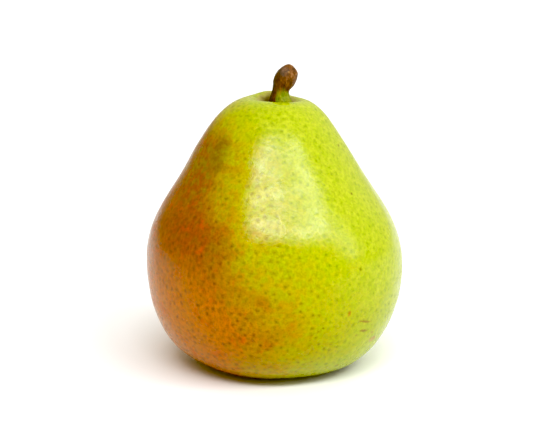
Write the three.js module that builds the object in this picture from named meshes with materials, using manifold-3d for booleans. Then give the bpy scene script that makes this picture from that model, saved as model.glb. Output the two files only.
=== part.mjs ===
// A fresh pear standing on its blossom end, in millimetres, +Z up.
// The origin is on the surface it stands on, under the middle of its belly; -Y is the side shown first.
// Three things make it up: the fruit (flesh and skin grown as one), the woody stem, and the dried calyx.
import * as THREE from "three";
import { mergeVertices } from "three/addons/utils/BufferGeometryUtils.js";
import Module from "manifold-3d";

const wasm = await Module();
wasm.setup();

// ---- Driving dimensions ----
const BELLY_RADIUS = 39;
const FRUIT_HEIGHT = 80.8; // from the surface to the crest round the stem
const STEM_LENGTH = 17.7; // with the root that is sunk in the flesh
const PIECE_GAP = 0.3; // clearance between the fruit and what grows from it

// ---- Fruit outline, from the calyx basin out to the belly and up to the stem cavity ----
// A reach is how far a stretch runs on straight before it bends towards the next one.
const BASIN_TOP = 6.2; // height of the basin's roof over the surface
const BASIN_ROOF_REACH = 8.5;
const RIM_RADIUS = 15.4; // the low ring that the fruit stands on
const RIM_DROP = 0.25; // how far the ring reached below the surface before it was pressed flat
const RIM_INNER_REACH = 5;
const RIM_OUTER_REACH = 16.5;
const BELLY_HEIGHT = 33;
const BELLY_LOWER_REACH = 15.9;
const BELLY_UPPER_REACH = 10.6;
const FLANK_RADIUS = 28.8; // the straightest stretch between belly and shoulder
const FLANK_HEIGHT = 56.5;
const FLANK_SLOPE = THREE.MathUtils.degToRad(59.2);
const FLANK_LOWER_REACH = 5.3;
const FLANK_UPPER_REACH = 13.6;
const CREST_RADIUS = 8.2;
const SHOULDER_REACH = 6.8;
const CREST_INNER_REACH = 2;
const CAVITY_DEPTH = 4;
const CAVITY_FLOOR_RADIUS = 4.4;
const OUTLINE_STEPS = [9, 15, 9, 13, 8]; // one count for each stretch of the outline

// ---- How the fruit departs from a turned shape ----
const BASE_LOBES = 5; // one for each sepal
const LOBE_DEPTH = 0.018; // share of the radius at the rim
const LOBE_HEIGHT = 26; // they fade out this far up
const LOBE_TURN = THREE.MathUtils.degToRad(-29);
const NOTCH_LIFT = 0.4; // the rim is higher between the lobes
const SHOULDER_LEAN = -1.1; // along X
const CAVITY_SHIFT = 1.6; // along X, from the leaning shoulder
const CAVITY_SHIFT_FADE = 24; // radius where the shift has faded out
const CREST_TILT = 0.06; // fall of the crest per millimetre
const CREST_TILT_TURN = THREE.MathUtils.degToRad(-26); // the way it falls
const CREST_TILT_FADE = 28;
const FOLD_LIFT = 0.9; // fleshy fold of the crest behind the stem
const FOLD_X = -1.6;
const FOLD_Y = 6.8;
const FOLD_REACH = 4.6;
// Slow swells of the surface: [millimetres, waves round, waves up per millimetre, phase]
const SWELLS = [
  [0.43, 2, 0.05, 0.76],
  [0.12, 3, -0.07, 3.16],
  [0.21, 5, 0.11, 4.44],
];

// ---- Stem, from its root to its knob ----
const STEM_X = 2.35; // where it stands, a little to one side of the cavity's middle
const STEM_ROOT_RADIUS = 2.3;
const STEM_SOCKET_RADIUS = 2.8; // room for the root's slight bend
const STEM_ROOT_DEPTH = 4.6; // of the root below the cavity's floor
const STEM_FOOT_RADIUS = 3.9;
const STEM_FOOT_FLARE = 2.8; // height over which the foot narrows
const STEM_KNOB_RADIUS = 3.1;
// Bark above the foot: [radius as a share of the knob's, height as a share of the length]
const STEM_BARK = [
  [0.805, 0.627],
  [1, 0.774],
  [0.95, 0.894],
  [0.623, 0.978],
  [0, 1],
];
const STEM_BARK_STEPS = 24;
const STEM_RIDGES = 7;
const STEM_RIDGE_DEPTH = 0.03;
const STEM_RIDGE_TWIST = 0.4; // radians per millimetre
// The pulls on its middle line, at even heights from its root to its tip: [X, Y] from where it stands
const STEM_PULLS = [
  [0, 0],
  [0.6, 0],
  [-3.3, 0.2],
  [3.8, 0.8],
];

// ---- Calyx, the dried flower end in the basin ----
const SEPALS = 5;
const SEPAL_LENGTH = 4.4;
const SEPAL_WIDTH = 2.8;
const SEPAL_THICKNESS = 0.7;
const SEPAL_CURL = 0.16; // turn per millimetre of length, in radians
const SEPAL_LIFT = THREE.MathUtils.degToRad(52);
const CALYX_CUP_RADIUS = 3.1;
const CALYX_CUP_HEIGHT = 1.3;
const CALYX_WALL = 0.8;
const CALYX_ROOT_RADIUS = 1.9;
const CALYX_ROOT_DEPTH = 1.8;
const CALYX_DROP = 0.6; // of the cup's back below the basin's roof
const STAMENS = 14;
const STAMEN_LENGTH = 2.5;
const STAMEN_RADIUS = 0.34;
const STYLES = 5;

// ---- Fineness ----
const ROUND_STEPS = 72;
const STEM_ROUND_STEPS = 28;

const materials = {
  skin: new THREE.MeshStandardMaterial({ color: 0xc3b412, roughness: 0.42, metalness: 0 }),
  bark: new THREE.MeshStandardMaterial({ color: 0x6a4418, roughness: 0.8, metalness: 0 }),
  driedSepal: new THREE.MeshStandardMaterial({ color: 0x4a3320, roughness: 0.9, metalness: 0 }),
};

// 0 below low, 1 above high, and a smooth rise between them.
function ease(value, low, high) {
  return THREE.MathUtils.smoothstep(value, low, high);
}

// A closed geometry as a solid, with its shared corners merged and its collapsed faces left out.
function solidOf(geometry) {
  const bare = geometry.clone();
  bare.deleteAttribute("normal");
  bare.deleteAttribute("uv");
  const merged = mergeVertices(bare, 1e-4);
  const corners = merged.index.array;
  const kept = [];
  for (let i = 0; i < corners.length; i += 3) {
    const [a, b, c] = corners.subarray(i, i + 3);
    if (a !== b && b !== c && c !== a) kept.push(a, b, c);
  }
  return new wasm.Manifold(
    new wasm.Mesh({
      numProp: 3,
      vertProperties: merged.attributes.position.array,
      triVerts: new Uint32Array(kept),
    }),
  );
}

function geometryOf(solid) {
  const { vertProperties, triVerts } = solid.getMesh();
  const geometry = new THREE.BufferGeometry();
  geometry.setAttribute("position", new THREE.BufferAttribute(vertProperties, 3));
  geometry.setIndex(new THREE.BufferAttribute(triVerts, 1));
  geometry.computeVertexNormals();
  return geometry;
}

// Moves each corner of a geometry to where rule(corner) puts it.
function reshape(geometry, rule) {
  const position = geometry.getAttribute("position");
  const corner = new THREE.Vector3();
  for (let i = 0; i < position.count; i++) {
    corner.fromBufferAttribute(position, i);
    rule(corner);
    position.setXYZ(i, corner.x, corner.y, corner.z);
  }
  return geometry;
}

// A turned shape about Z from outline points whose x is the radius and y the height.
function turned(points, steps) {
  return new THREE.LatheGeometry(points, steps).rotateX(Math.PI / 2);
}

function cylinderAt(radius, low, high, x = 0) {
  return new THREE.CylinderGeometry(radius, radius, high - low, STEM_ROUND_STEPS)
    .rotateX(Math.PI / 2)
    .translate(x, 0, (low + high) / 2);
}

// ---- Fruit ----
function fruitOutline() {
  const rim = -RIM_DROP;
  const floor = FRUIT_HEIGHT - CAVITY_DEPTH;
  const up = new THREE.Vector2(-Math.cos(FLANK_SLOPE), Math.sin(FLANK_SLOPE));
  const flank = new THREE.Vector2(FLANK_RADIUS, FLANK_HEIGHT);
  const under = flank.clone().addScaledVector(up, -FLANK_LOWER_REACH);
  const over = flank.clone().addScaledVector(up, FLANK_UPPER_REACH);
  const at = (r, z) => new THREE.Vector2(r, z);
  const stretches = [
    [
      at(0, BASIN_TOP),
      at(BASIN_ROOF_REACH, BASIN_TOP),
      at(RIM_RADIUS - RIM_INNER_REACH, rim),
      at(RIM_RADIUS, rim),
    ],
    [
      at(RIM_RADIUS, rim),
      at(RIM_RADIUS + RIM_OUTER_REACH, rim),
      at(BELLY_RADIUS, BELLY_HEIGHT - BELLY_LOWER_REACH),
      at(BELLY_RADIUS, BELLY_HEIGHT),
    ],
    [at(BELLY_RADIUS, BELLY_HEIGHT), at(BELLY_RADIUS, BELLY_HEIGHT + BELLY_UPPER_REACH), under, flank],
    [flank, over, at(CREST_RADIUS + SHOULDER_REACH, FRUIT_HEIGHT), at(CREST_RADIUS, FRUIT_HEIGHT)],
    [
      at(CREST_RADIUS, FRUIT_HEIGHT),
      at(CREST_RADIUS - CREST_INNER_REACH, FRUIT_HEIGHT),
      at(CAVITY_FLOOR_RADIUS, floor),
      at(0, floor),
    ],
  ];
  const points = stretches.flatMap((stretch, i) =>
    new THREE.CubicBezierCurve(...stretch).getPoints(OUTLINE_STEPS[i]).slice(i ? 1 : 0),
  );
  points[0].x = 0;
  points[points.length - 1].x = 0;
  return points;
}

// What growth does to a point of the turned outline: a lobed base, slow swells, and a crest that leans,
// tilts and folds.
function grow(point) {
  const radius = Math.hypot(point.x, point.y);
  const turn = Math.atan2(point.y, point.x);
  const height = point.z;
  const low = 1 - ease(height, 0, LOBE_HEIGHT);
  const high = ease(height, BELLY_HEIGHT, FRUIT_HEIGHT);
  const lobe = Math.cos(BASE_LOBES * (turn - LOBE_TURN));
  const offRim = (radius - RIM_RADIUS) / RIM_INNER_REACH;
  const swellShare = ease(radius, CREST_RADIUS / 2, 2 * CREST_RADIUS);
  let swell = 0;
  for (const [size, round, up, phase] of SWELLS) {
    swell += size * Math.cos(round * turn + up * height + phase);
  }
  const grown = radius * (1 + LOBE_DEPTH * lobe * low) + swell * swellShare;
  const nearStem = high > 0 ? 1 - ease(radius, CREST_RADIUS / 2, CAVITY_SHIFT_FADE) : 0;
  const nearCrest = high > 0 ? 1 - ease(radius, CREST_RADIUS, CREST_TILT_FADE) : 0;
  point.x = grown * Math.cos(turn);
  point.y = grown * Math.sin(turn);
  const downhill = point.x * Math.cos(CREST_TILT_TURN) + point.y * Math.sin(CREST_TILT_TURN);
  const offFold = Math.hypot(point.x - FOLD_X, point.y - FOLD_Y) / FOLD_REACH;
  point.z = height + (NOTCH_LIFT / 2) * (1 - lobe) * low * Math.exp(-offRim * offRim);
  point.z += FOLD_LIFT * high * Math.exp(-offFold * offFold) - CREST_TILT * downhill * nearCrest;
  point.x += SHOULDER_LEAN * high + CAVITY_SHIFT * nearStem;
}

const CAVITY_FLOOR = FRUIT_HEIGHT - CAVITY_DEPTH;

function fruit() {
  const grown = reshape(turned(fruitOutline(), ROUND_STEPS), grow);
  const surface = new THREE.BoxGeometry(4 * BELLY_RADIUS, 4 * BELLY_RADIUS, 10).translate(0, 0, -5);
  const stemSocket = cylinderAt(
    STEM_SOCKET_RADIUS,
    CAVITY_FLOOR - STEM_ROOT_DEPTH - PIECE_GAP,
    FRUIT_HEIGHT,
    STEM_X,
  );
  const stemSeat = cylinderAt(STEM_FOOT_RADIUS + PIECE_GAP, CAVITY_FLOOR - PIECE_GAP, FRUIT_HEIGHT, STEM_X);
  const calyxSocket = cylinderAt(CALYX_ROOT_RADIUS + PIECE_GAP, 0, BASIN_TOP + CALYX_ROOT_DEPTH + PIECE_GAP);
  const solid = solidOf(grown)
    .subtract(solidOf(surface))
    .subtract(solidOf(stemSocket))
    .subtract(solidOf(stemSeat))
    .subtract(solidOf(calyxSocket));
  return new THREE.Mesh(geometryOf(solid), materials.skin);
}

// ---- Stem ----
function stemOutline() {
  const foot = STEM_ROOT_DEPTH + PIECE_GAP;
  const bark = new THREE.SplineCurve([
    new THREE.Vector2(STEM_FOOT_RADIUS, foot),
    new THREE.Vector2(0.87 * STEM_FOOT_RADIUS, foot + STEM_FOOT_FLARE),
    ...STEM_BARK.map(([wide, high]) => new THREE.Vector2(wide * STEM_KNOB_RADIUS, high * STEM_LENGTH)),
  ]).getPoints(STEM_BARK_STEPS);
  bark[bark.length - 1].x = 0;
  const root = [new THREE.Vector2(0, 0), new THREE.Vector2(STEM_ROOT_RADIUS, 0)];
  return [...root, new THREE.Vector2(STEM_ROOT_RADIUS, foot), ...bark];
}

// A ridged turned shape that is bent along the stem's middle line.
function stem() {
  const bottom = CAVITY_FLOOR - STEM_ROOT_DEPTH;
  const pulls = STEM_PULLS.map(([x, y], i) => {
    const share = i / (STEM_PULLS.length - 1);
    return new THREE.Vector3(STEM_X + x, y, bottom + share * STEM_LENGTH);
  });
  const line = new THREE.CubicBezierCurve3(...pulls);
  const shape = reshape(turned(stemOutline(), STEM_ROUND_STEPS), (point) => {
    const share = THREE.MathUtils.clamp(point.z / STEM_LENGTH, 0, 1);
    const turn = Math.atan2(point.y, point.x);
    const ridged = ease(point.z, STEM_ROOT_DEPTH, STEM_ROOT_DEPTH + STEM_FOOT_FLARE);
    const wide = 1 + STEM_RIDGE_DEPTH * ridged * Math.cos(STEM_RIDGES * turn + STEM_RIDGE_TWIST * point.z);
    const along = line.getTangent(share);
    const side = new THREE.Vector3(0, 1, 0).cross(along).normalize();
    const back = along.clone().cross(side);
    const middle = line.getPoint(share);
    middle.addScaledVector(side, point.x * wide).addScaledVector(back, point.y * wide);
    point.copy(middle);
  });
  return new THREE.Mesh(geometryOf(solidOf(shape)), materials.bark);
}

// ---- Calyx, built with +Z out of the basin and turned over when it is placed ----
function calyxCup() {
  const inner = CALYX_CUP_RADIUS - CALYX_WALL;
  const at = (r, z) => new THREE.Vector2(r, z);
  return turned(
    [
      at(0, -CALYX_ROOT_DEPTH),
      at(CALYX_ROOT_RADIUS, -CALYX_ROOT_DEPTH),
      at(CALYX_ROOT_RADIUS, 0),
      at(CALYX_CUP_RADIUS, 0),
      at(CALYX_CUP_RADIUS + 0.2, CALYX_CUP_HEIGHT),
      at(inner, CALYX_CUP_HEIGHT),
      at(inner - 0.4, CALYX_CUP_HEIGHT / 2),
      at(0, CALYX_CUP_HEIGHT / 2),
    ],
    24,
  );
}

// A pointed blade that stands on the cup's wall, leans out and curls back towards its tip.
function sepal(turn) {
  const half = SEPAL_WIDTH / 2;
  const leaf = new THREE.Shape();
  leaf.moveTo(-0.35 * SEPAL_WIDTH, 0);
  leaf.lineTo(0.35 * SEPAL_WIDTH, 0);
  leaf.quadraticCurveTo(half * 1.2, 0.45 * SEPAL_LENGTH, 0, SEPAL_LENGTH);
  leaf.quadraticCurveTo(-half * 1.2, 0.45 * SEPAL_LENGTH, -0.35 * SEPAL_WIDTH, 0);
  const blade = new THREE.ExtrudeGeometry(leaf, {
    depth: SEPAL_THICKNESS,
    bevelEnabled: false,
    curveSegments: 7,
    steps: 1,
  });
  reshape(blade, (point) => {
    const length = point.y;
    const lift = SEPAL_LIFT - SEPAL_CURL * length;
    const cupped = (0.25 * point.x * point.x) / half;
    const out = point.z - SEPAL_THICKNESS / 2 - cupped;
    const reach = length * Math.cos(SEPAL_LIFT - (SEPAL_CURL * length) / 2);
    const rise = length * Math.sin(SEPAL_LIFT - (SEPAL_CURL * length) / 2);
    const side = point.x;
    point.set(reach + out * Math.sin(lift), side, rise - out * Math.cos(lift));
  });
  return blade
    .translate(CALYX_CUP_RADIUS - CALYX_WALL, 0, CALYX_CUP_HEIGHT / 2)
    .rotateZ(turn);
}

// A four-sided dried thread, from its foot at a radius, leaning outwards.
function thread(length, radius, foot, lean, turn) {
  return new THREE.CylinderGeometry(radius / 2, radius, length, 4)
    .translate(0, length / 2, 0)
    .rotateX(Math.PI / 2)
    .rotateY(lean)
    .translate(foot, 0, CALYX_CUP_HEIGHT / 2 - 0.2)
    .rotateZ(turn);
}

function calyx() {
  let solid = solidOf(calyxCup());
  const draw = seededDraw(7);
  for (let i = 0; i < SEPALS; i++) {
    const turn = (2 * Math.PI * i) / SEPALS + LOBE_TURN;
    solid = solid.add(solidOf(sepal(turn)));
  }
  for (let i = 0; i < STAMENS; i++) {
    const turn = (2 * Math.PI * (i + 0.3 * draw())) / STAMENS;
    const length = STAMEN_LENGTH * (0.75 + 0.25 * draw());
    const lean = 0.2 + 0.3 * draw();
    solid = solid.add(solidOf(thread(length, STAMEN_RADIUS, CALYX_CUP_RADIUS - 1.4, lean, turn)));
  }
  for (let i = 0; i < STYLES; i++) {
    const turn = (2 * Math.PI * i) / STYLES;
    solid = solid.add(solidOf(thread(STAMEN_LENGTH * 0.8, STAMEN_RADIUS, 0.55, 0.12, turn)));
  }
  const mesh = new THREE.Mesh(geometryOf(solid), materials.driedSepal);
  mesh.rotation.x = Math.PI;
  mesh.position.z = BASIN_TOP - CALYX_DROP;
  return mesh;
}

// Repeatable draws between 0 and 1.
function seededDraw(seed) {
  let state = seed;
  return () => {
    state = (state * 16807) % 2147483647;
    return state / 2147483647;
  };
}

const fruitMesh = fruit();
fruitMesh.name = "fruit";
const stemMesh = stem();
stemMesh.name = "stem";
const calyxMesh = calyx();
calyxMesh.name = "calyx";

// The swells put the belly's middle a little to one side, so the whole pear is moved back over the origin.
const box = new THREE.Box3().setFromObject(fruitMesh);
const pear = new THREE.Group();
pear.add(fruitMesh, stemMesh, calyxMesh);
pear.position.set(-(box.min.x + box.max.x) / 2, -(box.min.y + box.max.y) / 2, 0);

export default pear;
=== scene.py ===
"""A ripe pear with its stem and dried calyx on a pale studio floor, laid out as a Blender add-on."""
import math
from functools import partial, reduce
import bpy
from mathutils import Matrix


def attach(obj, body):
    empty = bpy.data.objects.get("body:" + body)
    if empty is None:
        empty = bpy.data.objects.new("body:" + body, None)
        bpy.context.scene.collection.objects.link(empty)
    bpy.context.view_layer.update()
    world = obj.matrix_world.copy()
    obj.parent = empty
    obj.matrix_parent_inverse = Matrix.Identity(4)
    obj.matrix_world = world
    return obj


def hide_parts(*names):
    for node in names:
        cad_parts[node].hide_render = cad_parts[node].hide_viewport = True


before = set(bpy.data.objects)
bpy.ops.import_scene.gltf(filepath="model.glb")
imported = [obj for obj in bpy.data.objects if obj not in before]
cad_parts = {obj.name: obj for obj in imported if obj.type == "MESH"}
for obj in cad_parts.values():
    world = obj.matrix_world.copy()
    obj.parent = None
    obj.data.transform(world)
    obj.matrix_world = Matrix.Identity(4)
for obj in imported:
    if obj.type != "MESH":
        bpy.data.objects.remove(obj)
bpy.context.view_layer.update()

from types import SimpleNamespace

import bpy
from bpy.props import FloatProperty, FloatVectorProperty, IntProperty, PointerProperty
from bpy.types import Operator, Panel, PropertyGroup
from mathutils import Vector

bl_info = {
    "name": "Pear",
    "version": (1, 0, 0),
    "blender": (4, 5, 0),
    "location": "View3D > Sidebar > Pear",
    "description": "Grows a ripe pear from its outline, with its stem, calyx and skin",
    "category": "Object",
}

MM = 0.001
BODY = "root"
IMAGE_WIDTH = 550  # Pixels across the render
SENSOR_WIDTH = 36  # Millimetres
SMOOTH = {"interpolation_type": "SMOOTHSTEP"}
CURVE_STEPS = 48  # Straight pieces that stand for each stretch of an outline
WELD = 0.007 * MM  # Vertices this near become one
FLAT_FADE = 2 * MM  # Height over which the skin's unevenness fades in above the flat spots
PORE_DRAWS = 2e6  # Tries for each square metre, enough to leave no gap between the pores
MIDDLE = (0.3, 0.7)  # The range that a noise keeps to for the most part
SKY_EDGE = (-0.1, 0.9)  # Cosines between which the room goes from dim to bright
FRAY = 0.9  # How far the edges of the skin's marks are frayed, in mm
SCAR = (2.3, -1.9, 89.4)  # Where the stem broke from its twig, in mm
NECK, CHEEK, BROW = 0.87, 0.95, 0.623  # Radii of the stem as shares of its foot's and its knob's
BARK_GRAIN = 1.3 * MM  # Width of the bark's unevenness

CUP_GRID = (97, 65)  # Vertices round the calyx's cup and along its outline
CUP_FLARE, CUP_SLOPE = 0.2 * MM, 0.4 * MM  # How far its wall leans out and its inside leans in
SEPAL_GRID = (25, 33)  # Vertices round a sepal and along it
SEPAL_TAPER = 0.55  # Below 1 its widest place is nearer to its foot
SEPAL_HOLLOW = 0.18 / MM  # Depth of its hollow for its half width squared
THREAD_GRID = {"Vertices": 8, "Side Segments": 6}  # Of a stamen or a style
THREAD_TAPER, THREAD_SINK = 0.6, 0.2 * MM  # Its tip's share of its radius, and its depth in the cup
STAMEN_INSET, STYLE_RING = 0.6 * MM, 0.55 * MM  # From the wall to the stamens, and the styles' radius
WITHER, WITHER_WIDTH = 0.8 * MM, 2 * MM  # Size and width of the calyx's unevenness

# Marks of the skin: middle in mm, length and width in mm, rise in degrees, colour and strength
MARKS = [
    ((21.3, -32.1, 24.3), 2.6, 1.3, 75, "#a05808", 0.7),
    ((26.2, -27.2, 20.4), 8, 1.1, -16, "#80600a", 0.85),
    ((25.7, -26.5, 17.4), 5, 1.2, -13, "#7c5c06", 0.85),
    ((23.6, -28.0, 16.4), 1.2, 0.9, 20, "#86640c", 0.7),
    ((28.8, -20.2, 12.9), 5.5, 2.6, -8, "#9c6c2c", 0.7),
    ((28.6, -22.6, 15.6), 2, 1.2, -30, "#8a6a14", 0.6),
    ((31.3, -14.6, 13.4), 2, 1.4, 40, "#a0663a", 0.75),
    ((18.2, -24.0, 5.9), 2.6, 1, 25, "#744606", 0.85),
    ((22.6, -30.9, 37.5), 5, 0.6, -6, "#a2980c", 0.6),
    ((24.4, -29.9, 36.7), 1, 1, 0, "#74700a", 0.85),
    ((22.2, -17.6, 56.0), 1, 1, 0, "#665a04", 0.9),
    ((18.8, -7.0, 68.0), 1, 1, 0, "#6e5c04", 0.9),
    ((13.8, -35.3, 21.0), 1, 1, 0, "#6c5a08", 0.85),
    ((-27.5, 26.5, 30.0), 7, 0.7, 35, "#6c4a10", 0.7),
    ((12.0, 36.0, 22.0), 3.2, 1.6, -20, "#8a6a34", 0.7),
]
# Broad olive patches in the blush, and a greener one at its edge, written in the same way
PATCHES = [
    ((-15.6, -17.0, 66.6), 22, 9.5, 90, "#785806", 0.72),
    ((-17.9, -33.4, 41.5), 12, 8, 90, "#8a6e08", 0.45),
    ((-14.0, -34.5, 46.0), 8, 5, 60, "#8a6e08", 0.4),
    ((-5.4, -29.2, 55.8), 22, 13, 90, "#aeae22", 0.8),
]

# Softboxes: name, azimuth, elevation, width, height and roll in degrees, and share of the lamp radiance
SOFTBOXES = [
    ("Left softbox", -3, 52.2, 30, 9.5, 4, 1.3),
    ("Right softbox", 49, 46, 33, 9.5, -15, 0.95),
    ("Side softbox", 73, 23, 13, 28, 0, 0.3),
]


# ---- Kinds of value that a user can change ----


def kind_of_value(make, scale=1, **settings):
    """A function that makes values of one kind, from a name, a number in its unit and a description."""

    def value(name, number, description):
        return make(name=name, description=description, default=number * scale, **settings)

    return value


length = kind_of_value(FloatProperty, MM, unit="LENGTH", precision=5)  # In millimetres, kept in metres
angle = kind_of_value(FloatProperty, math.radians(1), subtype="ANGLE")  # In degrees
ratio = kind_of_value(FloatProperty, precision=3)
whole = kind_of_value(IntProperty, min=1)
triple = kind_of_value(FloatVectorProperty, size=3, precision=5)


def linear(code):
    """An sRGB hex colour as linear red, green, blue and a full alpha."""
    shares = [int(code[i : i + 2], 16) / 255 for i in (1, 3, 5)]
    return tuple(c / 12.92 if c <= 0.04045 else ((c + 0.055) / 1.055) ** 2.4 for c in shares) + (1.0,)


def colour(name, code, description):
    """A colour, given as sRGB hex."""
    return FloatVectorProperty(
        name=name, description=description, default=linear(code), size=4, subtype="COLOR", min=0, max=1
    )


class FruitOutline(PropertyGroup):
    """The half outline that is turned about the fruit's axis."""

    belly_radius: length("Belly radius", 38.96, "Half of the greatest width")
    belly_height: length("Belly height", 31.5, "Height of the widest place")
    belly_lower_reach: length("Belly lower reach", 14.5, "How far it runs straight down")
    belly_upper_reach: length("Belly upper reach", 12.3, "How far it runs straight up")
    fruit_height: length("Fruit height", 80.8, "Of the crest round the stem")
    basin_top: length("Basin top", 6.2, "Height of the calyx basin's roof")
    basin_roof_reach: length("Basin roof reach", 8.5, "How far the roof runs level")
    rim_radius: length("Rim radius", 15.4, "Of the low ring that the fruit stands on")
    rim_drop: length("Rim drop", 0.25, "How far the ring reached down, before it was pressed flat")
    rim_inner_reach: length("Rim inner reach", 5, "How far it runs level inwards")
    rim_outer_reach: length("Rim outer reach", 16.1, "How far it runs level outwards")
    flank_radius: length("Flank radius", 27.84, "Radius at the straightest stretch")
    flank_height: length("Flank height", 58.06, "Height of the straightest stretch")
    flank_slope: angle("Flank slope", 58.2, "Steepness of the straightest stretch")
    flank_lower_reach: length("Flank lower reach", 10.5, "How far it runs on downwards")
    flank_upper_reach: length("Flank upper reach", 10.25, "How far it runs on upwards")
    crest_radius: length("Crest radius", 7.9, "Of the crest round the stem cavity")
    crest_inner_reach: length("Crest inner reach", 2, "How far it runs level inwards")
    shoulder_reach: length("Shoulder reach", 7.5, "How far the crest runs level outwards")
    cavity_depth: length("Cavity depth", 4, "Below the crest")
    cavity_floor_radius: length("Cavity floor radius", 4.4, "How far the floor runs level")


class FruitGrowth(PropertyGroup):
    """How the grown fruit departs from its turned outline."""

    base_lobes: whole("Base lobes", 5, "Lobes of the blossom end")
    lobe_depth: ratio("Lobe depth", 0.018, "As a share of the radius")
    lobe_height: length("Lobe height", 26, "Where they have faded out")
    lobe_turn: angle("Lobe turn", -29, "Where the first lobe stands")
    notch_lift: length("Notch lift", 0.4, "Rise of the rim between the lobes")
    shoulder_lean: length("Shoulder lean", -1.1, "Along X")
    cavity_shift: length("Cavity shift", 1.9, "Along X, on the leaning shoulder")
    cavity_shift_fade: length("Cavity shift fade", 24, "Radius where it has faded out")
    crest_tilt: ratio("Crest tilt", 0.052, "Fall of the crest for its width")
    crest_tilt_turn: angle("Crest tilt turn", 25, "The way the crest falls")
    crest_tilt_fade: length("Crest tilt fade", 28, "Radius where it has faded out")
    fold_lift: length("Fold lift", 1.35, "Rise of the fleshy fold behind the stem")
    fold_x: length("Fold X", -1.6, "Place of the fold along X")
    fold_y: length("Fold Y", 6.8, "Place of the fold along Y")
    fold_reach: length("Fold reach", 4.6, "Spread of the fold")
    swell_sizes: triple("Swell sizes", (0.43 * MM, 0.12 * MM, 0.21 * MM), "Rise of three slow swells")
    swell_counts: triple("Swell counts", (2, 3, 5), "Waves of each round the fruit")
    swell_climbs: triple("Swell climbs", (50, -70, 110), "Turn of each for a metre of height")
    swell_phases: triple("Swell phases", (0.76, 3.16, 4.44), "Start of each swell")
    dimple_height: length("Dimple height", 0.05, "Of the skin's slow unevenness")
    dimple_width: length("Dimple width", 9, "Of the same unevenness")
    puckers: whole("Puckers", 10, "Folds of the skin round the basin")
    pucker_height: length("Pucker height", 0.3, "Height of those folds")
    columns: whole("Columns", 425, "Vertices round the fruit")
    rows: whole("Rows", 232, "Vertices along the outline")
    pore_gap: length("Pore gap", 1.9, "Least distance between two pores")
    pore_seed: whole("Pore seed", 5, "Seed of the pores' places")


class SkinFinish(PropertyGroup):
    """The colours and the gloss of the skin."""

    green: colour("Green", "#a9b42a", "Ground colour on the shaded side")
    lime: colour("Lime", "#a8a216", "Ground colour where it ripens")
    yellow: colour("Yellow", "#ae8408", "Where the blush begins")
    orange: colour("Orange", "#b8680e", "The blush")
    brown: colour("Brown", "#944c07", "The blush high up")
    red: colour("Red", "#b64c04", "The reddest patches of the blush")
    olive: colour("Olive", "#8b7204", "The greenest patches of the blush")
    pore_green: colour("Pore green", "#6a5e08", "Pores on the ground colour")
    pore_brown: colour("Pore brown", "#6c2a02", "Pores on the blush")
    halo: colour("Halo", "#96a914", "Greener patches of the ground colour")
    blotch_green: colour("Blotch green", "#7c960c", "Soft blotches on the ground colour")
    blotch_olive: colour("Blotch olive", "#8a7e06", "Soft blotches where it ripens")
    blotch_brown: colour("Blotch brown", "#7a4a08", "Soft blotches on the blush")
    sun_turn: angle("Sun turn", -175, "The way that the sunny side faces")
    sun_fall: ratio("Sun fall", 0.0138, "Loss of sun for each millimetre of height")
    sun_share: ratio("Sun share", 0.185, "Sun that reached every side")
    cork: colour("Cork", "#aca060", "Pale corky skin in the cavity and the basin")
    # Besides the russet round the stem and the calyx, this colour is painted low down as painted shade
    russet: colour("Russet", "#4c3210", "Dark skin round the stem and the calyx")
    roughness: ratio("Roughness", 0.25, "Roughness of the waxed skin")
    specular: ratio("Specular", 0.32, "Strength of the reflection")


class StemForm(PropertyGroup):
    """The stem's place, its outline and its bend."""

    stand: triple("Stand", (2.3 * MM, 0.12 * MM, 72.2 * MM), "Middle of the root's end")
    stem_length: length("Stem length", 17.7, "From the root's end to the tip")
    root_depth: length("Root depth", 4.9, "Of the root below the foot")
    root_radius: length("Root radius", 2.3, "Radius of the sunk root")
    foot_radius: length("Foot radius", 3.9, "Radius where it leaves the flesh")
    foot_flare: length("Foot flare", 2.8, "Height over which the foot narrows")
    waist_radius: length("Waist radius", 2.5, "Radius of the narrowest place")
    waist_height: length("Waist height", 11.1, "Height of the narrowest place")
    knob_radius: length("Knob radius", 3.1, "Radius of the swollen end")
    knob_height: length("Knob height", 13.7, "Height of the knob's widest place")
    cheek_height: length("Cheek height", 15.8, "Height where the knob starts to close")
    brow_height: length("Brow height", 17.3, "Height of the knob's last round")
    lower_pull: triple("Lower pull", (0.6 * MM, 0, 0), "Pull on the middle line at a third")
    upper_pull: triple("Upper pull", (-3.3 * MM, 0.2 * MM, 0), "Pull on the middle line at two thirds")
    tip_pull: triple("Tip pull", (3.8 * MM, 0.8 * MM, 0), "Pull on the middle line at its tip")
    ridges: whole("Ridges", 7, "Ridges round the stem")
    ridge_depth: ratio("Ridge depth", 0.03, "As a share of the radius")
    ridge_twist: ratio("Ridge twist", 400, "For a metre of height")
    bark_relief: length("Bark relief", 0.1, "Height of its grain")
    columns: whole("Columns", 161, "Vertices round the stem")
    rows: whole("Rows", 201, "Vertices along the stem")


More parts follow.
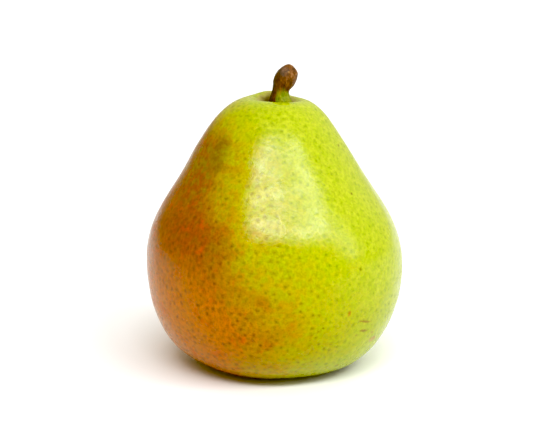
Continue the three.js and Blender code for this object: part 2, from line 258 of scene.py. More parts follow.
class CalyxForm(PropertyGroup):
    """The dried flower end in the basin."""

    middle: triple("Middle", (-0.05 * MM, 0.12 * MM, 5.6 * MM), "Middle of the cup's back")
    cup_radius: length("Cup radius", 3.1, "Outer radius of the cup")
    cup_height: length("Cup height", 1.3, "Height of the cup's wall")
    cup_wall: length("Cup wall", 0.8, "Thickness of the cup's wall")
    root_radius: length("Root radius", 1.9, "Radius of the root in the flesh")
    root_depth: length("Root depth", 1.8, "Depth of the root in the flesh")
    sepals: whole("Sepals", 5, "Number of sepals")
    sepal_turn: angle("Sepal turn", -29, "Where the first sepal stands")
    sepal_length: length("Sepal length", 4.4, "Length of a sepal along its curl")
    sepal_width: length("Sepal width", 3.1, "Greatest width of a sepal")
    sepal_thickness: length("Sepal thickness", 0.4, "Thickness of a sepal")
    sepal_lift: angle("Sepal lift", 52, "Rise of a sepal at its foot")
    sepal_curl: ratio("Sepal curl", 160, "Its turn for a metre of its length")
    stamens: whole("Stamens", 14, "Number of stamens")
    styles: whole("Styles", 5, "Number of styles")
    thread_length: length("Thread length", 2.5, "Length of a dried stamen")
    thread_radius: length("Thread radius", 0.17, "Radius of a dried stamen")


class Studio(PropertyGroup):
    """The camera, the lights and the floor."""

    elevation: angle("Elevation", 14, "Of the camera above the horizon")
    distance: length("Distance", 420, "From the camera to the pear's middle")
    middle_height: length("Middle height", 42, "Height of the pear's middle")
    aim: triple("Aim", (0.2 * MM, 0, 43.8 * MM), "The point that the camera looks at")
    focal_pixels: ratio("Focal length", 1386.6, "In pixels of the render")
    bright_sky: triple("Bright sky", (1.02, 1.0, 0.9), "Light of the room's bright side, red to blue")
    dim_sky: triple("Dim sky", (0.43, 0.33, 0.16), "Light of the room's dim side, red to blue")
    bright_way: triple("Bright way", (0.3, 0.25, 0.8), "The way to the room's bright side")
    lamp_distance: length("Lamp distance", 4000, "From the pear to a lamp's panel")
    lamp_radiance: ratio("Lamp radiance", 13.5, "Brightness of a lamp's panel")
    black_level: triple("Black level", (0.021, 0.022, 0.048), "Light that counts as black, red to blue")
    floor_size: length("Floor size", 60000, "Side of the floor")
    floor_tint: colour("Floor tint", "#f4f6fc", "White paper with a brightener")


class PearSettings(PropertyGroup):
    """All of the pear's settings."""

    outline: PointerProperty(type=FruitOutline)
    growth: PointerProperty(type=FruitGrowth)
    skin: PointerProperty(type=SkinFinish)
    stem: PointerProperty(type=StemForm)
    calyx: PointerProperty(type=CalyxForm)
    studio: PointerProperty(type=Studio)


# ---- Trees of nodes ----


def add(tree, kind, *sources, **settings):
    """Adds a node: "Math ADD" is a ShaderNodeMath whose operation, or else its data type, is ADD.

    Sources fill its inputs in order, and a setting fills the property or the input of its name.
    """
    kind, *choice = kind.split()
    kinds = [start + kind for start in ("ShaderNode", "GeometryNode", "FunctionNode", "Node")]
    node = tree.nodes.new(next(known for known in kinds if hasattr(bpy.types, known)))
    if choice:
        settings["operation" if hasattr(node, "operation") else "data_type"] = choice[0]
    for name in [name for name in settings if name in node.bl_rna.properties]:
        setattr(node, name, settings.pop(name))
    shown = [socket for socket in node.inputs if socket.enabled]
    named = {socket.name: socket for socket in reversed(shown)}
    pairs = [*zip(shown, sources), *((named[name], value) for name, value in settings.items())]
    for socket, source in pairs:
        if isinstance(source, bpy.types.Node):
            source = next(out for out in source.outputs if out.enabled)
        if isinstance(source, bpy.types.NodeSocket):
            tree.links.new(source, socket)
        else:
            socket.default_value = source
    return node


def sizes_of(group, *keys):
    """The numbers of a property group, or those of some of its keys."""
    plain = (int, float)
    values = {key: getattr(group, key) for key in keys or type(group).__annotations__}
    return {key: value if isinstance(value, plain) else tuple(value) for key, value in values.items()}


def tree_for(name, build, sizes, material):
    """A geometry tree with an input for each size, built on them, that ends in a plain smooth mesh."""
    tree = bpy.data.node_groups.new(name, "GeometryNodeTree")
    for way in ("INPUT", "OUTPUT"):
        tree.interface.new_socket("Geometry", in_out=way, socket_type="NodeSocketGeometry")
    kinds = {float: "NodeSocketFloat", int: "NodeSocketInt", tuple: "NodeSocketVector"}
    for key, value in sizes.items():
        label = key.replace("_", " ").capitalize()
        tree.interface.new_socket(label, in_out="INPUT", socket_type=kinds[type(value)])
    node = partial(add, tree)
    given = SimpleNamespace(**dict(zip(("geometry", *sizes), node("GroupInput").outputs)))
    plain = node("RealizeInstances", node("SetShadeSmooth", build(node, given)))
    node("GroupOutput", node("SetMaterial", Geometry=plain, Material=material))
    return tree


def drawn_curve(name, points):
    """A curve object's data, from points with the handle before, the place and the handle after."""
    curve = bpy.data.curves.new(name, "CURVE")
    curve.dimensions = "3D"
    curve.resolution_u = CURVE_STEPS
    spline = curve.splines.new("BEZIER")
    spline.bezier_points.add(len(points) - 1)
    for bezier, (before, place, after) in zip(spline.bezier_points, points):
        bezier.handle_left_type = bezier.handle_right_type = "FREE"
        bezier.handle_left, bezier.co, bezier.handle_right = before, place, after
    return curve


def grow(name, stands_for, outline, build, sizes, material):
    """Runs a tree on an outline, hides the CAD part that the plain mesh stands for, and hangs the mesh on
    the body.
    """
    source = bpy.data.objects.new(name + "_source", drawn_curve(name + "_outline", outline))
    bpy.context.collection.objects.link(source)
    modifier = source.modifiers.new(name, "NODES")
    modifier.node_group = tree_for(name, build, sizes, material)
    items = [item for item in modifier.node_group.interface.items_tree if item.in_out == "INPUT"]
    for item, size in zip(items[1:], sizes.values()):
        modifier[item.identifier] = size
    graph = bpy.context.evaluated_depsgraph_get()
    mesh = bpy.data.meshes.new_from_object(
        source.evaluated_get(graph), preserve_all_data_layers=True, depsgraph=graph
    )
    source.modifiers.remove(modifier)
    bpy.data.objects.remove(source)
    if not mesh.polygons:
        raise RuntimeError(name + " came out empty")
    mesh.name = name
    piece = bpy.data.objects.new(name, mesh)
    bpy.context.collection.objects.link(piece)
    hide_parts(stands_for)
    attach(piece, BODY)


def at(radius, height):
    """A place on an outline."""
    return Vector((radius, 0, height))


def running(place, way, before, after):
    """A point of an outline that runs straight this way for so much before and after it."""
    return place - way * before, place, place + way * after


def wound_grid(node, columns, rows):
    """A flat grid, with each vertex's turn round the axis and its share of the way along the outline."""
    grid = node("MeshGrid", 1, 1, columns, rows).outputs["Mesh"]
    spot = node("SeparateXYZ", node("InputPosition"))
    turn = node("Math MULTIPLY", spot.outputs["X"], 2 * math.pi)
    along = node("Math ADD", spot.outputs["Y"], 0.5)
    return grid, turn, along


def outline_grid(node, given, columns, rows):
    """Such a grid, with each vertex's turn round the axis and its place on the outline."""
    grid, turn, along = wound_grid(node, columns, rows)
    drawn = node("SampleCurve", mode="FACTOR", Curves=given.geometry, Factor=along)
    return grid, turn, drawn.outputs["Position"]


def wound_up(node, grid, place):
    """The grid moved to its places, with its seam and its poles closed."""
    body = node("SetPosition", Geometry=grid, Position=place)
    return node("MergeByDistance", Geometry=body, Distance=WELD)


def across_and_up(node, angle, across, up):
    """The cosine of an angle times one size, and its sine times another."""
    cosine = node("Math MULTIPLY", across, node("Math COSINE", angle))
    return cosine, node("Math MULTIPLY", up, node("Math SINE", angle))


def moved(node, place, *steps):
    """A place moved by each (vector, factor) in turn."""
    for vector, factor in steps:
        place = node("VectorMath ADD", place, node("VectorMath SCALE", vector, factor))
    return place


def uneven(node, body, depth, **noise):
    """The body with its surface moved in and out by a noise, as deep as asked."""
    pattern = node("TexNoise", Vector=node("InputPosition"), **noise)
    minus = node("Math MULTIPLY", depth, -1)
    rise = node("MapRange", pattern, *MIDDLE, minus, depth, clamp=False)
    offset = node("VectorMath SCALE", node("InputNormal"), rise)
    return node("SetPosition", Geometry=body, Offset=offset)


def jitter(node, place, size, **noise):
    """A shift of up to half this size each way, drawn from a noise."""
    draw = node("TexNoise", Vector=place, **noise).outputs["Color"]
    centred = node("VectorMath SUBTRACT", draw, (0.5, 0.5, 0.5))
    return node("VectorMath SCALE", centred, size)


# ---- Fruit ----


def fruit_outline(form):
    """Half of the fruit's outline, from the basin's roof round the belly to the cavity's floor."""
    out, up = at(1, 0), at(0, 1)
    slope = at(-math.cos(form.flank_slope), math.sin(form.flank_slope))
    rim = at(form.rim_radius, -form.rim_drop)
    belly = at(form.belly_radius, form.belly_height)
    flank = at(form.flank_radius, form.flank_height)
    crest = at(form.crest_radius, form.fruit_height)
    floor = at(0, form.fruit_height - form.cavity_depth)
    return [
        running(at(0, form.basin_top), out, 0, form.basin_roof_reach),
        running(rim, out, form.rim_inner_reach, form.rim_outer_reach),
        running(belly, up, form.belly_lower_reach, form.belly_upper_reach),
        running(flank, slope, form.flank_lower_reach, form.flank_upper_reach),
        running(crest, -out, form.shoulder_reach, form.crest_inner_reach),
        running(floor, -out, form.cavity_floor_radius, 0),
    ]


def bell(node, distance, reach):
    """exp(-(distance / reach) squared)."""
    share = node("Math DIVIDE", distance, reach)
    square = node("Math MULTIPLY", share, share)
    return node("Math EXPONENT", node("Math MULTIPLY", square, -1))


def grown_place(node, given, turn, radius, height):
    """Where growth puts a point of the turned outline."""
    half_crest = node("Math MULTIPLY", given.crest_radius, 0.5)
    two_crests = node("Math MULTIPLY", given.crest_radius, 2)
    low = node("MapRange", height, 0, given.lobe_height, 1, 0, **SMOOTH)
    high = node("MapRange", height, given.belly_height, given.fruit_height, **SMOOTH)
    above = node("Math GREATER_THAN", high, 0)

    # Five lobes at the blossom end
    from_lobe = node("Math SUBTRACT", turn, given.lobe_turn)
    lobe = node("Math COSINE", node("Math MULTIPLY", from_lobe, given.base_lobes))
    low_lobe = node("Math MULTIPLY", lobe, low)
    widened = node("Math MULTIPLY_ADD", low_lobe, given.lobe_depth, 1)

    # Three slow swells, worked out together as one vector
    climbs = node("VectorMath SCALE", given.swell_climbs, height)
    turns = node("VectorMath SCALE", given.swell_counts, turn)
    waves = node("VectorMath ADD", node("VectorMath ADD", climbs, turns), given.swell_phases)
    swell = node("VectorMath DOT_PRODUCT", node("VectorMath COSINE", waves), given.swell_sizes)
    off_axis = node("MapRange", radius, half_crest, two_crests, **SMOOTH)
    swell = node("Math MULTIPLY", swell, off_axis)
    grown = node("Math MULTIPLY_ADD", radius, widened, swell)

    # The shoulder leans, and the cavity is shifted on it
    x, y = across_and_up(node, turn, grown, grown)
    near_stem = node("MapRange", radius, half_crest, given.cavity_shift_fade, 1, 0, **SMOOTH)
    near_stem = node("Math MULTIPLY", near_stem, above)
    shifted = node("Math MULTIPLY_ADD", near_stem, given.cavity_shift, x)
    leaning = node("Math MULTIPLY_ADD", high, given.shoulder_lean, shifted)

    # The rim is higher between the lobes
    off_rim = node("Math SUBTRACT", radius, given.rim_radius)
    on_rim = bell(node, off_rim, given.rim_inner_reach)
    notch = node("Math SUBTRACT", 1, lobe)
    notch = reduce(partial(node, "Math MULTIPLY"), (notch, low, on_rim))
    half_lift = node("Math MULTIPLY", given.notch_lift, 0.5)
    lifted = node("Math MULTIPLY_ADD", notch, half_lift, height)

    # A fleshy fold rises behind the stem
    flat = node("CombineXYZ", x, y, 0)
    fold_place = node("CombineXYZ", given.fold_x, given.fold_y, 0)
    off_fold = node("VectorMath DISTANCE", flat, fold_place)
    fold = node("Math MULTIPLY", bell(node, off_fold, given.fold_reach), high)
    folded = node("Math MULTIPLY_ADD", fold, given.fold_lift, lifted)

    # The crest is tilted
    fall = node("CombineXYZ", *across_and_up(node, given.crest_tilt_turn, 1, 1), 0)
    downhill = node("VectorMath DOT_PRODUCT", flat, fall)
    near_crest = node("MapRange", radius, given.crest_radius, given.crest_tilt_fade, 1, 0, **SMOOTH)
    sunk = reduce(partial(node, "Math MULTIPLY"), (near_crest, above, given.crest_tilt, downhill))
    tilted = node("Math SUBTRACT", folded, sunk)

    # The skin puckers where it runs into the basin
    pucker = node("Math COSINE", node("Math MULTIPLY", from_lobe, given.puckers))
    off_slope = node("Math ADD", off_rim, given.rim_inner_reach)
    on_slope = bell(node, off_slope, given.rim_inner_reach)
    depth = reduce(partial(node, "Math MULTIPLY"), (on_slope, low, given.pucker_height))
    puckered = node("Math MULTIPLY_ADD", pucker, depth, tilted)

    # What reached below the surface is pressed flat on it
    pressed = node("Math MAXIMUM", puckered, 0)
    return node("CombineXYZ", leaning, y, pressed)


def grown_fruit(node, given):
    """Turns the outline about Z, grows it, and notes on each face where the nearest pore is."""
    grid, turn, drawn = outline_grid(node, given, given.columns, given.rows)
    drawn = node("SeparateXYZ", drawn).outputs
    body = wound_up(node, grid, grown_place(node, given, turn, drawn["X"], drawn["Z"]))

    # The belly's middle goes over the origin
    box = node("BoundBox", body).outputs
    corners = node("VectorMath ADD", box["Min"], box["Max"])
    shift = node("VectorMath MULTIPLY", corners, (-0.5, -0.5, 0))
    body = node("SetPosition", Geometry=body, Offset=shift)

    # Slow unevenness of the skin, except where it is pressed flat
    position = node("InputPosition")
    height = node("SeparateXYZ", position).outputs["Z"]
    free = node("MapRange", height, 0, FLAT_FADE, **SMOOTH)
    depth = node("Math MULTIPLY", given.dimple_height, free)
    per_metre = node("Math DIVIDE", 1, given.dimple_width)
    body = uneven(node, body, depth, Scale=per_metre, Detail=1.5)

    # Evenly scattered pores: each face keeps the place and the kind of the nearest one
    scatter = {"Seed": given.pore_seed, "Distance Min": given.pore_gap, "Density Max": PORE_DRAWS}
    pores = node("DistributePointsOnFaces", distribute_method="POISSON", Mesh=body, **scatter)
    pores = pores.outputs["Points"]
    nearest = node("SampleNearest", pores, domain="POINT")
    here = {"domain": "POINT", "Geometry": pores, "Value": position, "Index": nearest}
    pore = node("SampleIndex FLOAT_VECTOR", **here)
    kind = node("RandomValue FLOAT", ID=nearest)
    for name, value, data_type in (("pore_place", pore, "FLOAT_VECTOR"), ("pore_kind", kind, "FLOAT")):
        kept = {"data_type": data_type, "domain": "FACE", "Name": name, "Value": value}
        body = node("StoreNamedAttribute", Geometry=body, **kept)
    return body


# ---- Finishes ----


def new_finish(name):
    """An empty material; returns it and what adds its nodes."""
    material = bpy.data.materials.new(name)
    material.use_nodes = True
    material.node_tree.nodes.clear()
    return material, partial(add, material.node_tree)


def place_on(node):
    """The place on the piece, in metres and in millimetres."""
    place = node("TexCoord").outputs["Object"]
    return place, node("VectorMath SCALE", place, 1 / MM)


def coated(node, tint, relief, roughness, specular, strength, depth):
    """Ends a finish: the tint with a sheen and a fine relief of this strength and depth."""
    bump = node("Bump", Strength=strength, Distance=depth, Height=relief)
    coat = {"Base Color": tint, "Specular IOR Level": specular}
    node("OutputMaterial", node("BsdfPrincipled", Roughness=roughness, Normal=bump, **coat))


def painted(node, tint, colour, value, low, high, start=0, end=1, where=None):
    """A colour over the tint: its share runs from start to end as a value runs from low to high."""
    share = node("MapRange", value, low, high, start, end, **SMOOTH)
    if where is not None:
        share = node("Math MULTIPLY", share, where)
    return node("Mix RGBA", share, tint, colour)


def tint_through(node, value, tint, *steps):
    """One colour that turns into the next over each (colour, low, high) stretch of the value."""
    for step in steps:
        tint = painted(node, tint, step[0], value, *step[1:])
    return tint


def marked(node, mm, tint, marks):
    """The tint with these marks painted on it, with frayed edges."""
    frayed = node("VectorMath ADD", mm, jitter(node, mm, FRAY, Scale=1 / 0.7, Detail=2, Roughness=0.7))
    for middle, long, wide, roll, code, strength in marks:
        turn = math.atan2(middle[1], middle[0]) + math.pi / 2
        angles = (0, -math.radians(roll), turn)
        halves = (long / 2, wide / 2, wide / 2)
        place = node("Mapping", frayed, middle, angles, halves, vector_type="TEXTURE")
        away = node("VectorMath LENGTH", place)
        tint = painted(node, tint, linear(code), away, 0.4, 1, strength, 0)
    return tint


def waxed_skin(finish):
    """Pear skin under its own wax.

    Lime ground colour with an uneven orange blush on one side, soft olive blotches round the pores, fine
    specks, a few grazes, corky russeted skin in the cavity and the basin, painted shade near the bottom,
    and a soft sheen. All sizes are in mm.
    """
    material, node = new_finish("Pear skin under its own wax")
    place, mm = place_on(node)
    height = node("SeparateXYZ", mm).outputs["Z"]
    broad = node("TexNoise", Vector=mm, Scale=1 / 17, Detail=2, Roughness=0.5)
    patchy = node("TexNoise", Vector=mm, Scale=1 / 5, Detail=3, Roughness=0.6)
    mottled = node("TexNoise", Vector=mm, Scale=1 / 2.4, Detail=2, Roughness=0.6)
    grainy = node("TexNoise", Vector=mm, Scale=1 / 0.8, Detail=2, Roughness=0.6)
    upright = node("VectorMath MULTIPLY", mm, (1, 1, 0.25))
    streaky = node("TexNoise", Vector=upright, Scale=1 / 0.9, Detail=2, Roughness=0.6)

    # How sunny the place was: the cosine of its turn from the sun, less towards the top and underneath.
    # Near the axis the radius counts as no less than 12 to 24, so that the cosine changes slowly there
    level = node("VectorMath MULTIPLY", mm, (1, 1, 0))
    radius = node("VectorMath LENGTH", level)
    wide = node("Math MAXIMUM", radius, node("MapRange", height, 2, 10, 24, 12))
    sun_way = (math.cos(finish.sun_turn), math.sin(finish.sun_turn), 0)
    facing = node("Math DIVIDE", node("VectorMath DOT_PRODUCT", level, sun_way), wide)
    facing = node("Math ADD", facing, finish.sun_share)
    shaded = node("Math MAXIMUM", height, 20)
    sunny = node("Math MULTIPLY_ADD", shaded, -finish.sun_fall, facing)
    for stretch in ((70, 84, 0, 0.8), (2, 18, 0.22, 0)):
        sunny = node("Math SUBTRACT", sunny, node("MapRange", height, *stretch))
    for pattern, strength in ((broad, 0.5), (patchy, 0.35), (mottled, 0.2), (streaky, 0.2)):
        centred = node("Math SUBTRACT", pattern, 0.5)
        sunny = node("Math MULTIPLY_ADD", centred, strength, sunny)
    ripening = ((finish.lime, -1, -0.4), (finish.yellow, -0.45, -0.05), (finish.orange, -0.15, 0.3))
    tint = tint_through(node, sunny, finish.green, *ripening)
    blush = node("MapRange", sunny, -0.3, 0.3, **SMOOTH)
    bare = node("Math SUBTRACT", 1, blush)

    # High up the blush is brown, and between, red and olive patches show
    high = node("MapRange", height, 22, 48, **SMOOTH)
    high = node("Math MULTIPLY", high, blush)
    tint = node("Mix RGBA", high, tint, finish.brown)
    tint = painted(node, tint, finish.red, patchy, 0.52, 0.7, 0, 0.7, blush)
    edge = node("Math MULTIPLY", blush, bare)
    edge = node("Math MULTIPLY_ADD", edge, 3, 0.25)
    edge = node("Math MULTIPLY", edge, blush)
    upper = node("MapRange", height, 50, 66, 0, 0.95)
    near = node("MapRange", sunny, -0.5, 0.1, **SMOOTH)
    edge = node("Math MULTIPLY_ADD", upper, near, edge)
    tint = painted(node, tint, finish.olive, mottled, 0.35, 0.58, 0.9, 0.1, edge)
    tint = marked(node, mm, tint, PATCHES)
    tint = painted(node, tint, finish.halo, mottled, 0.4, 0.62, 0, 0.55, bare)

    # Each pore is a soft dark blotch, often with a small core, and some hardly show
    pore = node("Attribute", attribute_name="pore_place").outputs["Vector"]
    kind = node("Attribute", attribute_name="pore_kind").outputs["Fac"]
    off_pore = node("Math MULTIPLY", node("VectorMath DISTANCE", place, pore), 1 / MM)
    ragged = node("Math SUBTRACT", grainy, 0.5)
    off_pore = node("Math MULTIPLY_ADD", ragged, 0.9, off_pore)
    strong = node("MapRange", kind, 0, 1, 0.15, 0.75)
    shown = node("MapRange", sunny, -0.8, -0.3, 0.78, 1, **SMOOTH)
    bold = node("Math MULTIPLY_ADD", high, 0.2, 1)
    blotch = node("MapRange", off_pore, 0.1, 1.1, 1, 0, **SMOOTH)
    blotch = reduce(partial(node, "Math MULTIPLY"), (blotch, strong, shown, bold))
    cored = node("MapRange", kind, 0.45, 1, 0, 0.4)
    lowly = node("MapRange", height, 14, 36, 0.28, 0, **SMOOTH)
    cored = node("Math ADD", cored, lowly)
    core = node("MapRange", off_pore, 0.05, 0.38, 1, 0, **SMOOTH)
    core = reduce(partial(node, "Math MULTIPLY"), (core, cored, shown))
    browning = ((finish.blotch_olive, -0.75, -0.3), (finish.blotch_brown, -0.2, 0.12))
    soft = tint_through(node, sunny, finish.blotch_green, *browning)
    dark = node("Mix RGBA", blush, finish.pore_green, finish.pore_brown)
    tint = node("Mix RGBA", blotch, tint, soft)
    tint = node("Mix RGBA", core, tint, dark)

    # Finer specks between them, and a grain over everything
    specks = node("TexVoronoi", Vector=mm, Scale=1 / 0.8).outputs["Distance"]
    tint = painted(node, tint, soft, specks, 0.12, 0.42, 0.45, 0)
    shade = node("MapRange", grainy, *MIDDLE, 0.85, 1.13)
    streak = node("MapRange", streaky, *MIDDLE, -0.15, 0.12)
    shade = node("Math MULTIPLY_ADD", streak, blush, shade)
    tint = node("HueSaturation", Value=shade, Color=tint)
    tint = marked(node, mm, tint, MARKS)

    # Pale corky skin inside the cavity and the basin, dark where it meets the stem and the calyx
    leaning = node("MapRange", height, 30, 60)
    axis = node("VectorMath SCALE", (0.8, 0.8, 0), leaning)
    inward = node("VectorMath DISTANCE", level, axis)
    inward = node("Math MULTIPLY_ADD", mottled, 2.4, inward)
    tint = painted(node, tint, finish.cork, inward, 6.9, 8.7, 0.8, 0)
    tint = painted(node, tint, finish.russet, inward, 5.2, 7.6, 0.95, 0)

    # Painted shade: the russet colour darkens the skin towards the bottom, where the fruit tucks under
    # onto the floor
    low = node("Math MULTIPLY_ADD", patchy, 3, height)
    tint = painted(node, tint, finish.russet, low, 1.5, 5, 0.75, 0)

    relief = node("Math MULTIPLY_ADD", blotch, -0.5, grainy)
    smeared = node("Math SUBTRACT", patchy, 0.5)
    rough = node("Math MULTIPLY_ADD", smeared, 0.4, finish.roughness)
    coated(node, tint, relief, rough, finish.specular, strength=0.4, depth=0.1 * MM)
    return material


def dry_bark():
    """Bark of the stem, dried by the air: rough dull brown, still green where it leaves the flesh."""
    material, node = new_finish("Pear stem bark, air-dried")
    mm = place_on(node)[1]
    spot = node("SeparateXYZ", mm).outputs
    height = spot["Z"]
    upright = node("VectorMath MULTIPLY", mm, (1, 1, 0.45))
    grain = node("TexNoise", Vector=upright, Scale=1 / 1.1, Detail=4, Roughness=0.7)
    fine = node("TexNoise", Vector=upright, Scale=1 / 0.4, Detail=2, Roughness=0.6)
    browns = ((linear("#67391c"), 0.36, 0.5), (linear("#966640"), 0.5, 0.68))
    tint = tint_through(node, grain, linear("#371a10"), *browns)

    # The scar where it broke from the twig is grey
    from_scar = node("VectorMath DISTANCE", mm, SCAR)
    from_scar = node("Math MULTIPLY_ADD", grain, 3, from_scar)
    tint = painted(node, tint, linear("#5e4c4a"), from_scar, 2.2, 4.2, 0.7, 0)

    # Green where it leaves the flesh, except for brown strips up its sides
    green = tint_through(node, grain, linear("#66780a"), (linear("#8e9428"), 0.35, 0.62))
    ragged = node("Math MULTIPLY_ADD", grain, 4, height)
    middle = node("MapRange", height, 81, 84, 3, 2)
    aside = node("Math ABSOLUTE", node("Math SUBTRACT", spot["X"], middle))
    aside = node("Math MULTIPLY_ADD", grain, 1.2, aside)
    spread = node("MapRange", height, 81, 83.5, 1.2, 0)
    aside = node("Math SUBTRACT", aside, spread)
    side = node("MapRange", aside, 1.6, 2.3, 1, 0, **SMOOTH)
    tint = painted(node, tint, green, ragged, 83.8, 86.8, 1, 0, side)

    # Pale pores of the bark
    warts = node("TexVoronoi", Vector=mm, Scale=1 / 2.2).outputs["Distance"]
    high = node("MapRange", height, 83, 86)
    tint = painted(node, tint, linear("#b98a4c"), warts, 0.1, 0.24, 0.6, 0, high)

    # Painted shade: the stem's left side, away from the lamps, is darkened
    middle = node("MapRange", height, 82, 88, 2, 3.8)
    left = node("Math SUBTRACT", middle, spot["X"])
    tint = painted(node, tint, linear("#25100a"), left, 1, 3, 0, 0.65)
    shade = node("MapRange", fine, *MIDDLE, 0.7, 1.2)
    tint = node("HueSaturation", Value=shade, Color=tint)
    relief = node("Math MULTIPLY_ADD", grain, 1.5, fine)
    coated(node, tint, relief, roughness=0.55, specular=0.35, strength=0.9, depth=0.15 * MM)
    return material


def dried_sepal():
    """Withered sepals and stamens: brittle, brown and dull."""
    material, node = new_finish("Pear sepal, withered dry")
    mm = place_on(node)[1]
    grain = node("TexNoise", Vector=mm, Scale=1 / 0.8, Detail=3, Roughness=0.6)
    tint = tint_through(node, grain, linear("#3a2616"), (linear("#84603c"), 0.35, 0.7))
    coated(node, tint, grain, roughness=0.85, specular=0.2, strength=0.8, depth=0.08 * MM)
    return material


def paper_floor(tint):
    """White paper of the studio floor: even and without gloss."""
    material, node = new_finish("Studio paper, matt white")
    node("OutputMaterial", node("BsdfDiffuse", tint))
    return material


# ---- Stem ----


def stem_outline(form):
    """Half of the stem's outline, from the root's end to the tip, smooth above the foot."""
    knots = [
        at(form.foot_radius, form.root_depth),
        at(NECK * form.foot_radius, form.root_depth + form.foot_flare),
        at(form.waist_radius, form.waist_height),
        at(form.knob_radius, form.knob_height),
        at(CHEEK * form.knob_radius, form.cheek_height),
        at(BROW * form.knob_radius, form.brow_height),
        at(0, form.stem_length),
    ]
    root = [at(0, 0), at(form.root_radius, 0), at(form.root_radius, form.root_depth)]
    points = [(corner,) * 3 for corner in root]
    for i, knot in enumerate(knots):
        before, after = knots[max(i - 1, 0)], knots[min(i + 1, len(knots) - 1)]
        points.append(running(knot, after - before, 1 / 6, 1 / 6))
    return points


def bent_stem(node, given):
    """Turns the stem's outline and bends it along a cubic middle line."""
    grid, turn, drawn = outline_grid(node, given, given.columns, given.rows)
    drawn = node("SeparateXYZ", drawn).outputs
    height = drawn["Z"]
    share = node("Math DIVIDE", height, given.stem_length)

    # Ridges run up the bark above the foot
    full = node("Math ADD", given.root_depth, given.foot_flare)
    ridged = node("MapRange", height, given.root_depth, full, **SMOOTH)
    twist = node("Math MULTIPLY", height, given.ridge_twist)
    wave = node("Math COSINE", node("Math MULTIPLY_ADD", turn, given.ridges, twist))
    wave = node("Math MULTIPLY", wave, ridged)
    wide = node("Math MULTIPLY_ADD", wave, given.ridge_depth, 1)
    radius = node("Math MULTIPLY", drawn["X"], wide)

    # The middle line is root + 3 lower t (1 - t)^2 + 3 upper t^2 (1 - t) + tip t^3
    rest = node("Math SUBTRACT", 1, share)
    first = node("Math MULTIPLY", node("Math MULTIPLY", share, rest), 3)
    lower = node("Math MULTIPLY", first, rest)
    upper = node("Math MULTIPLY", first, share)
    tip = node("Math POWER", share, 3)
    climb = node("CombineXYZ", 0, 0, height)
    middle = node("VectorMath ADD", given.stand, climb)
    pulls = ((given.lower_pull, lower), (given.upper_pull, upper), (given.tip_pull, tip))
    middle = moved(node, middle, *pulls)

    # Its slope: 3 (1-t)^2 lower + 6 t (1-t) (upper - lower) + 3 t^2 (tip - upper)
    between = node("VectorMath SUBTRACT", given.upper_pull, given.lower_pull)
    beyond = node("VectorMath SUBTRACT", given.tip_pull, given.upper_pull)
    start = node("Math MULTIPLY", node("Math MULTIPLY", rest, rest), 3)
    twice = node("Math MULTIPLY", first, 2)
    end = node("Math MULTIPLY", node("Math MULTIPLY", share, share), 3)
    slope = node("CombineXYZ", 0, 0, given.stem_length)
    slope = moved(node, slope, (given.lower_pull, start), (between, twice), (beyond, end))

    # Each ring of the bark lies square to that slope
    forward = node("VectorMath NORMALIZE", slope)
    side = node("VectorMath NORMALIZE", node("VectorMath CROSS_PRODUCT", (0, 1, 0), forward))
    back = node("VectorMath CROSS_PRODUCT", forward, side)
    out, behind = across_and_up(node, turn, radius, radius)
    body = wound_up(node, grid, moved(node, middle, (side, out), (back, behind)))
    return uneven(node, body, given.bark_relief, Scale=1 / BARK_GRAIN, Detail=3, Roughness=0.6)


# ---- Calyx ----


def cup_outline(form):
    """Half of the cup's outline, from the root in the flesh to the middle of the cup."""
    inner = form.cup_radius - form.cup_wall
    corners = [
        at(0, -form.root_depth),
        at(form.root_radius, -form.root_depth),
        at(form.root_radius, 0),
        at(form.cup_radius, 0),
        at(form.cup_radius + CUP_FLARE, form.cup_height),
        at(inner, form.cup_height),
        at(inner - CUP_SLOPE, form.cup_height / 2),
        at(0, form.cup_height / 2),
    ]
    return [(corner,) * 3 for corner in corners]


def sepal_blade(node, given):
    """One withered sepal: a pointed blade that leans out and curls back."""
    grid, turn, along = wound_grid(node, *SEPAL_GRID)
    swell = node("Math MULTIPLY", node("Math POWER", along, SEPAL_TAPER), math.pi)
    swell = node("Math SINE", swell)
    half = node("Math MULTIPLY", node("Math MULTIPLY", given.sepal_width, 0.5), swell)
    thin = node("Math MULTIPLY", node("Math MULTIPLY", given.sepal_thickness, 0.5), swell)
    side, out = across_and_up(node, turn, half, thin)
    cupped = node("Math MULTIPLY", node("Math MULTIPLY", side, side), SEPAL_HOLLOW)
    out = node("Math SUBTRACT", out, cupped)

    # The blade turns over evenly along its length
    run = node("Math MULTIPLY", along, given.sepal_length)
    curl = node("Math MULTIPLY", run, given.sepal_curl)
    chord = node("Math SUBTRACT", given.sepal_lift, node("Math MULTIPLY", curl, 0.5))
    reach, rise = across_and_up(node, chord, run, run)
    lift = node("Math SUBTRACT", given.sepal_lift, curl)
    sunk, thick = across_and_up(node, lift, out, out)
    x = node("Math ADD", reach, thick)
    z = node("Math SUBTRACT", rise, sunk)
    return wound_up(node, grid, node("CombineXYZ", x, side, z))


def ring_of(node, shape, number, radius, height, first_turn=0, lean=0, least=1, seed=0):
    """Copies of a shape in a ring, turned outwards, each with its own lean and size."""
    index = node("InputIndex")
    step = node("Math DIVIDE", 2 * math.pi, number)
    turn = node("Math MULTIPLY_ADD", index, step, first_turn)
    out = node("CombineXYZ", radius, 0, height)
    place = node("VectorRotate", Vector=out, Angle=turn, rotation_type="Z_AXIS")
    points = node("Points", Count=number, Position=place)
    draw = node("RandomValue FLOAT", ID=index, Seed=seed)
    leaning = node("Math MULTIPLY", draw, lean)
    size = node("MapRange", draw, 0, 1, least, 1)
    rotation = node("EulerToRotation", node("CombineXYZ", 0, leaning, turn))
    return node("InstanceOnPoints", Points=points, Instance=shape, Rotation=rotation, Scale=size)


